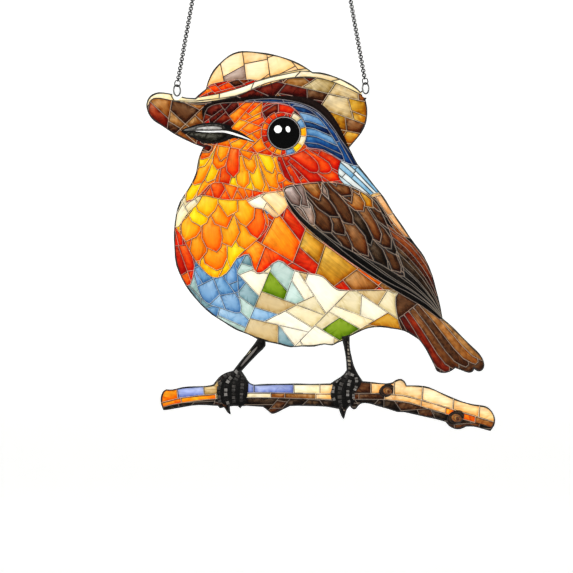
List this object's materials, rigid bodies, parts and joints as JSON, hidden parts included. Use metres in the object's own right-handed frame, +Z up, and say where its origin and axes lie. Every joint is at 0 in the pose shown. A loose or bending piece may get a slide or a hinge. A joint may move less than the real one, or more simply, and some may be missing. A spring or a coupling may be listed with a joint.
{
  "type": "acrylic suncatcher",
  "caption": "Flat acrylic panel cut to a perched songbird in a brimmed hat, hung by two wire rings and a fine link chain.",
  "frame": {"origin": "top of the hook or nail that the chain hangs on, where the underside of the chain's middle link rests", "axes": "+X to the right of the picture, +Y from its front to its back, +Z up"},
  "size_m": [0.1746, 0.0052, 0.4163],
  "materials": {
    "printed_acrylic": "clear acrylic sheet with a see-through printed picture, polished faces",
    "ring_steel": "bright wire, light grey",
    "chain_steel": "steel wire, dark grey"
  },
  "bodies": {
    "root": {"panel": "printed_acrylic", "left_ring": "ring_steel", "right_ring": "ring_steel", "left_chain_run": "chain_steel", "right_chain_run": "chain_steel", "chain_top": "chain_steel"}
  },
  "joints": []
}
